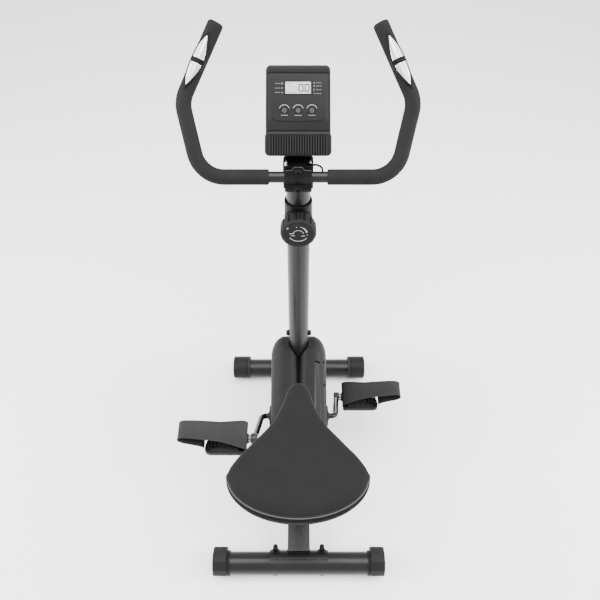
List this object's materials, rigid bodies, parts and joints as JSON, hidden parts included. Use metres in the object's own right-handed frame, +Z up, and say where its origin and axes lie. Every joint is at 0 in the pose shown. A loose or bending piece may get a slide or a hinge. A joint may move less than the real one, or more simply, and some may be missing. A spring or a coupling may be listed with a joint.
{
  "type": "exercise bike",
  "caption": "Upright magnetic exercise bike with a padded saddle, bent handlebar with hand sensors, console, tension knob, strap pedals and levelling feet.",
  "frame": {"origin": "on the floor, at the middle of the object's bounding box", "axes": "+X to the rider's right, +Y forwards from the saddle to the handlebar, +Z up"},
  "size_m": [0.5924, 0.794, 1.2414],
  "materials": {
    "frame_paint": "satin black powder coat",
    "black_fastener": "satin black zinc",
    "cap_plastic": "moulded black plastic",
    "housing_plastic": "satin dark grey plastic",
    "wheel_rubber": "matt",
    "bearing_steel": "ground steel",
    "crank_paint": "gloss black",
    "pulley_plastic": "moulded",
    "belt_rubber": "ribbed",
    "flywheel_iron": "turned",
    "magnet": "coated",
    "cable_black": "satin",
    "pedal_plastic": "moulded",
    "strap_rubber": "soft satin",
    "knob_plastic": "ribbed with white marks",
    "grip_foam": "foam, matt",
    "sensor_plastic": "satin",
    "electrode_metal": "brushed bright",
    "console_plastic": "fine grain",
    "screen_glass": "liquid-crystal window",
    "board_green": "solder mask",
    "button_plastic": "satin",
    "bushing_plastic": "moulded",
    "saddle_shell": "moulded",
    "saddle_vinyl": "matt vinyl over foam"
  },
  "bodies": {
    "frame": {"main_frame": "frame_paint", "rear_stabilizer": "frame_paint", "front_stabilizer": "frame_paint", "front_cap_left": "cap_plastic", "front_cap_right": "cap_plastic", "stabilizer_bolts": "black_fastener", "acorn_nuts": "black_fastener", "curved_washers": "black_fastener", "housing_left": "housing_plastic", "housing_right": "housing_plastic", "housing_screws": "black_fastener", "bearing_cups": "bearing_steel", "drive_belt": "belt_rubber", "flywheel_axle": "bearing_steel", "axle_nuts": "bearing_steel", "brake_spring": "bearing_steel", "tension_cable": "cable_black", "mast": "frame_paint", "mast_bolts": "black_fastener", "tension_base": "cap_plastic", "clamp_plate": "frame_paint", "clamp_bolts": "black_fastener", "pulse_cable": "cable_black", "console_front": "console_plastic", "console_back": "console_plastic", "display_screen": "screen_glass", "circuit_board": "board_green", "seat_bushing": "bushing_plastic"},
    "rear_cap_left_body": {"rear_cap_left": "cap_plastic"},
    "rear_cap_right_body": {"rear_cap_right": "cap_plastic"},
    "wheel_left_body": {"transport_wheel_left": "wheel_rubber"},
    "wheel_right_body": {"transport_wheel_right": "wheel_rubber"},
    "crankset": {"crank": "crank_paint", "bearing_cones": "bearing_steel", "crank_discs": "cap_plastic", "drive_pulley": "pulley_plastic", "pedal_spindles": "bearing_steel"},
    "pedal_left": {"pedal_body_left": "pedal_plastic", "pedal_strap_left": "strap_rubber"},
    "pedal_right": {"pedal_body_right": "pedal_plastic", "pedal_strap_right": "strap_rubber"},
    "flywheel_body": {"flywheel": "flywheel_iron", "flywheel_bearings": "bearing_steel"},
    "brake": {"brake_arm": "bearing_steel", "brake_magnets": "magnet"},
    "knob": {"tension_knob": "knob_plastic"},
    "handlebar": {"handlebar_tube": "frame_paint", "grip_left": "grip_foam", "grip_right": "grip_foam", "sensor_housing_left": "sensor_plastic", "sensor_housing_right": "sensor_plastic", "electrode_plates": "electrode_metal"},
    "button_left_body": {"button_left": "button_plastic"},
    "button_middle_body": {"button_middle": "button_plastic"},
    "button_right_body": {"button_right": "button_plastic"},
    "seat": {"seat_post": "frame_paint", "saddle_base": "saddle_shell", "saddle_cushion": "saddle_vinyl", "saddle_nuts": "bearing_steel"},
    "pin": {"seat_pin": "cap_plastic"}
  },
  "joints": [
    {"name": "rear_cap_left_turn", "type": "hinge", "parent": "frame", "child": "rear_cap_left_body", "pos_m": [-0.214, -0.277, 0.033], "axis": [1, 0, 0], "range_deg": [-135, 45]},
    {"name": "rear_cap_right_turn", "type": "hinge", "parent": "frame", "child": "rear_cap_right_body", "pos_m": [0.214, -0.277, 0.033], "axis": [1, 0, 0], "range_deg": [-135, 45]},
    {"name": "transport_wheel_left_spin", "type": "hinge", "parent": "frame", "child": "wheel_left_body", "pos_m": [-0.1905, 0.384, 0.0175], "axis": [1, 0, 0], "continuous": true},
    {"name": "transport_wheel_right_spin", "type": "hinge", "parent": "frame", "child": "wheel_right_body", "pos_m": [0.1905, 0.384, 0.0175], "axis": [1, 0, 0], "continuous": true},
    {"name": "crank_spin", "type": "hinge", "parent": "frame", "child": "crankset", "pos_m": [0, 0.045, 0.276], "axis": [1, 0, 0], "continuous": true},
    {"name": "pedal_left_spin", "type": "hinge", "parent": "crankset", "child": "pedal_left", "pos_m": [-0.181, -0.07019, 0.37972], "axis": [1, 0, 0], "continuous": true},
    {"name": "pedal_right_spin", "type": "hinge", "parent": "crankset", "child": "pedal_right", "pos_m": [0.181, 0.16019, 0.17228], "axis": [1, 0, 0], "continuous": true},
    {"name": "flywheel_spin", "type": "hinge", "parent": "frame", "child": "flywheel_body", "pos_m": [0, 0.188, 0.205], "axis": [1, 0, 0], "continuous": true},
    {"name": "tension_knob_turn", "type": "hinge", "parent": "frame", "child": "knob", "pos_m": [0, 0.16122, 0.89701], "axis": [0, 0.9921, -0.1253], "range_deg": [0, 300]},
    {"name": "brake_arm_swing", "type": "hinge", "parent": "frame", "child": "brake", "pos_m": [0, 0.28769, 0.15851], "axis": [1, 0, 0], "range_deg": [0, 3]},
    {"name": "handlebar_tilt", "type": "hinge", "parent": "frame", "child": "handlebar", "pos_m": [0, 0.1825, 1.02001], "axis": [1, 0, 0], "range_deg": [-15, 20]},
    {"name": "button_left_press", "type": "slide", "parent": "frame", "child": "button_left_body", "axis": [0, 0.8192, -0.5736], "range_m": [0, 0.0012], "stiffness_N_per_m": 700, "springref_m": -0.001},
    {"name": "button_middle_press", "type": "slide", "parent": "frame", "child": "button_middle_body", "axis": [0, 0.8192, -0.5736], "range_m": [0, 0.0012], "stiffness_N_per_m": 700, "springref_m": -0.001},
    {"name": "button_right_press", "type": "slide", "parent": "frame", "child": "button_right_body", "axis": [0, 0.8192, -0.5736], "range_m": [0, 0.0012], "stiffness_N_per_m": 700, "springref_m": -0.001},
    {"name": "seat_slide", "type": "slide", "parent": "frame", "child": "seat", "axis": [0, -0.284, 0.9588], "range_m": [-0.075, 0.1]},
    {"name": "seat_pin_pull", "type": "slide", "parent": "frame", "child": "pin", "axis": [0, -0.9588, -0.284], "range_m": [0, 0.01], "stiffness_N_per_m": 600, "springref_m": -0.008}
  ],
  "couplings": [
    {"joint": "flywheel_spin", "follows": "crank_spin", "ratio": 5.2},
    {"joint": "brake_arm_swing", "follows": "tension_knob_turn", "ratio": 0.01}
  ]
}
